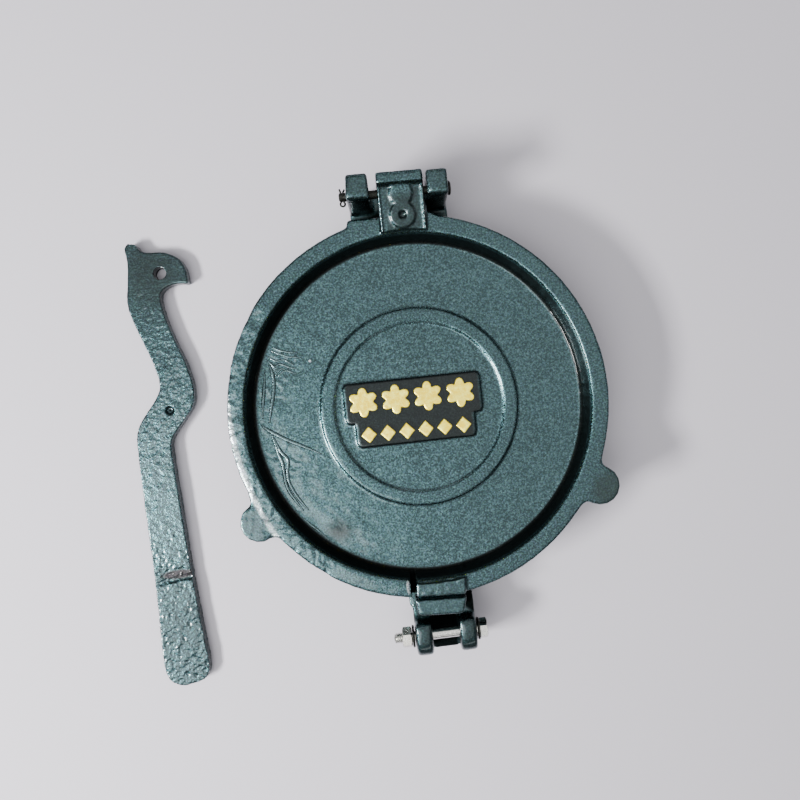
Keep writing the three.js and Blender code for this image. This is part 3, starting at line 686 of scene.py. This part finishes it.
for points, radius in veins:
    places = [on_press(x, y, vein_level) for x, y in points]
    beads.append(drawn_line("vein", places, vein_fullness * radius, order=3, resolution=2,
                            end_radius=vein_end))
bm = merged(beads)
bmesh.ops.translate(bm, verts=bm.verts, vec=(0, 0, -vein_level * MM))
bmesh.ops.scale(bm, verts=bm.verts, vec=(1, 1, vein_flatness))
bmesh.ops.translate(bm, verts=bm.verts, vec=(0, 0, vein_level * MM))
bmesh.ops.recalc_face_normals(bm, faces=bm.faces)
paint_veins = new_object("paint_veins", bm)
dress(paint_veins, plate_enamel, "top_plate", "enamelled_iron")

# %% [markdown]
# Turned parts are spun: a half section of distances along the pin and radii goes once round the axis.
# Hexagons are a six-sided prism cut by a spun double cone, which leaves the curved chamfers of a real nut.


# %% Helpers for turned parts
def spun(name, centre, section, steps=48):
    bm = bmesh.new()
    verts = [bm.verts.new(centre + Vector((x, 0, r)) * MM) for x, r in section]
    edges = [bm.edges.new(pair) for pair in zip(verts, verts[1:])]
    bmesh.ops.spin(bm, geom=verts + edges, cent=centre, axis=(1, 0, 0), dvec=(0, 0, 0),
                   angle=2 * math.pi, steps=steps, use_merge=True, use_duplicate=False)
    bmesh.ops.remove_doubles(bm, verts=bm.verts, dist=weld)
    bmesh.ops.recalc_face_normals(bm, faces=bm.faces)
    return new_object(name, bm)


def combine(piece, tool, operation):
    change = piece.modifiers.new(operation, "BOOLEAN")
    change.object = tool
    change.operation = operation
    change.solver = "EXACT"
    apply_modifiers(piece)
    bpy.data.objects.remove(tool)
    return piece


def extent(node):
    low, high = (Vector(corner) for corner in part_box(node))
    middle = (low + high) / 2
    return Vector((0, middle.y, middle.z)), low.x / MM, high.x / MM


# %% A hexagon with chamfers
def hexagon(name, centre, flats, low, high, low_chamfer, high_chamfer):
    corner = flats / 2 / math.cos(math.radians(30))
    clear = corner + 0.05
    end_face = flats * 0.47
    fall = (clear - end_face) * math.tan(math.radians(30))
    bm = bmesh.new()
    verts = bmesh.ops.create_circle(bm, cap_ends=True, segments=6, radius=corner * MM)["verts"]
    bmesh.ops.rotate(bm, verts=verts, matrix=Matrix.Rotation(math.radians(90), 3, "Y"))
    bmesh.ops.translate(bm, verts=verts, vec=centre + Vector((low, 0, 0)) * MM)
    wall = bmesh.ops.extrude_face_region(bm, geom=bm.faces[:])
    far = [g for g in wall["geom"] if isinstance(g, bmesh.types.BMVert)]
    bmesh.ops.translate(bm, verts=far, vec=((high - low) * MM, 0, 0))
    bmesh.ops.recalc_face_normals(bm, faces=bm.faces)
    prism = new_object(name, bm)
    cone = spun("cone", centre, [
        (low - 0.01, 0),
        (low - 0.01, end_face if low_chamfer else clear),
        (low + (fall if low_chamfer else 0), clear),
        (high - (fall if high_chamfer else 0), clear),
        (high + 0.01, end_face if high_chamfer else clear),
        (high + 0.01, 0),
    ], steps=72)
    return combine(prism, cone, "INTERSECT")


# %% [markdown]
# The front bolt is an M6: a hexagon head, a plain shank between the lugs and a thread past them. The thread
# is a ridge that climbs one millimetre each turn, spun round the core with a step along the axis.

# %% The pivot bolt
across_flats = 9.95
bolt_radius = 3.0
head_height = 4.0
threaded_length = 8.5
thread_depth = 0.55
centre, bolt_low, bolt_high = extent("pivot_bolt")
head_face = bolt_high - head_height
thread_start = extent("pivot_nut")[1] + threaded_length
core = bolt_radius - thread_depth
bolt = hexagon("pivot_bolt_detail", centre, across_flats, head_face, bolt_high, False, True)
shank = spun("shank", centre, [
    (bolt_low, 0),
    (bolt_low, core - 0.5),
    (bolt_low + 0.7, core),
    (thread_start, core),
    (thread_start + 0.6, bolt_radius),
    (head_face + 1.5, bolt_radius),
    (head_face + 1.5, 0),
])
combine(bolt, shank, "UNION")
dress(bolt, bolt_steel, "base", "bright_steel", "pivot_bolt", sharp=35)

# %% The bolt's thread
thread_pitch = 1.0
thread_root = 0.42
thread_crest = 0.06
crest_height = thread_depth - 0.02
steps_a_turn = 28
turns = int((thread_start - bolt_low - 1.0) / thread_pitch)
section = [(-thread_root, -0.1), (-thread_crest, crest_height), (thread_crest, crest_height),
           (thread_root, -0.1)]
bm = bmesh.new()
ridge = [bm.verts.new(centre + Vector((bolt_low + 0.55 + x, 0, core + r)) * MM) for x, r in section]
face = bm.faces.new(ridge)
bmesh.ops.spin(bm, geom=[face], cent=centre, axis=(1, 0, 0), use_merge=False, use_duplicate=False,
               dvec=(thread_pitch * MM / steps_a_turn, 0, 0), angle=2 * math.pi * turns,
               steps=steps_a_turn * turns)
bmesh.ops.holes_fill(bm, edges=bm.edges, sides=4)
bmesh.ops.recalc_face_normals(bm, faces=bm.faces)
thread = new_object("bolt_thread", bm)
dress(thread, bolt_steel, "base", "bright_steel", sharp=35)

# %% [markdown]
# The nut is the same hexagon with a bore that widens at both ends. A washer is punched from sheet, so the
# outer edge is slightly broken on both sides.

# %% The nut and the washers
centre, low, high = extent("pivot_nut")
nut = hexagon("pivot_nut_detail", centre, across_flats, low, high, True, True)
bore = spun("bore", centre, [
    (low - 1, 0),
    (low - 1, 4.3),
    (low + 0.5, 3.15),
    (high - 0.5, 3.15),
    (high + 1, 4.3),
    (high + 1, 0),
])
combine(nut, bore, "DIFFERENCE")
dress(nut, zinc, "base", "bright_steel", "pivot_nut", sharp=35)
for node in ("head_washer", "nut_washer"):
    centre, low, high = extent(node)
    washer = spun(node + "_detail", centre, [
        (low, 3.3),
        (low, 5.7),
        (low + 0.3, 6.0),
        (high - 0.3, 6.0),
        (high, 5.7),
        (high, 3.3),
        (low, 3.3),
    ])
    dress(washer, dull_steel, "base", "bright_steel", node, sharp=35)

# %% [markdown]
# The hinge pin is a plain headed rod. Its split pin is half-round wire folded into an eye: here one line
# runs up one leg, round the eye and back down the other leg, and the ends are bent apart.

# %% The hinge pin
centre, low, high = extent("hinge_pin")
pin = spun("hinge_pin_detail", centre, [
    (low, 0),
    (low, 1.6),
    (low + 0.5, 2.25),
    (high - 1.5, 2.25),
    (high - 1.5, 3.4),
    (high - 1.2, 3.75),
    (high - 0.5, 3.6),
    (high, 2.6),
    (high, 0),
])
dress(pin, dull_steel, "base", "dark_steel", "hinge_pin", sharp=35)

# %% The split pin
low, high = (Vector(corner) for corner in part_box("split_pin"))
middle = Vector(((low.x + high.x) / 2, hinge_place.y, hinge_place.z))
leg = 0.42
path = [(1.5, 3.9), (1.0, 3.1), (leg, 2.5), (leg, 0.0), (leg, -2.3), (1.3, -3.1), (1.2, -4.3), (0.0, -4.9),
        (-1.2, -4.3), (-1.3, -3.1), (-leg, -2.3), (-leg, 0.0), (-leg, 2.5), (-0.8, 3.2), (-1.1, 4.3)]
wire_places = [middle + Vector((x, y, 0)) * MM for x, y in path]
bm = merged([drawn_line("wire", wire_places, 0.5, order=4, resolution=3)])
bmesh.ops.recalc_face_normals(bm, faces=bm.faces)
split_pin = new_object("split_pin_detail", bm)
dress(split_pin, dull_steel, "base", "dark_steel", "split_pin", sharp=40)

# %% [markdown]
# The floor is a plain pale sheet.

# %% The floor
bm = bmesh.new()
bmesh.ops.create_grid(bm, x_segments=1, y_segments=1, size=9)
floor = new_object("floor", bm)
floor_paint = bpy.data.materials.new("floor paint")
floor_paint.use_nodes = True
floor_shader = floor_paint.node_tree.nodes["Principled BSDF"]
floor_shader.inputs["Base Color"].default_value = (0.46, 0.44, 0.48, 1)
floor_shader.inputs["Roughness"].default_value = 0.9
floor.data.materials.append(floor_paint)
print("floor:", floor.dimensions)

# %% [markdown]
# A small lamp low on the left draws the bright lines on rounded edges, and two soft boxes overhead are
# what the glossy enamel mirrors on its flat faces. Three thin strips and a pale world light the other
# sides. Each lamp looks at the middle of the plates.

# %% Light
Lamp = namedtuple("Lamp", "place size power")
strip = (1.1, 0.14)
lamps = {
    "key": Lamp((-0.75, -0.25, 0.62), (0.3, 0.14), 27),
    "side": Lamp((-0.62, -0.42, 1.35), (0.8, 0.9), 12),
    "top": Lamp((0.0, 0.0, 1.7), (2.2, 2.2), 20.5),
    "front strip": Lamp((0.1, -1.0, 0.75), strip, 1.6),
    "back strip": Lamp((0.0, 1.15, 0.8), strip, 1.4),
    "right strip": Lamp((1.15, 0.1, 0.8), strip, 1.0),
}
for name, lamp in lamps.items():
    light = bpy.data.lights.new(name, "AREA")
    light.shape = "RECTANGLE"
    light.size, light.size_y = lamp.size
    light.energy = lamp.power
    holder = bpy.data.objects.new(name, light)
    holder.location = lamp.place
    holder.rotation_euler = (press_centre - Vector(lamp.place)).to_track_quat("-Z", "Y").to_euler()
    bpy.context.scene.collection.objects.link(holder)
world = bpy.data.worlds.new("world")
world.use_nodes = True
sky = world.node_tree.nodes["Background"]
sky.inputs["Color"].default_value = (0.88, 0.9, 0.93, 1)
sky.inputs["Strength"].default_value = 0.35
bpy.context.scene.world = world
print("lamps:", ", ".join(lamps))
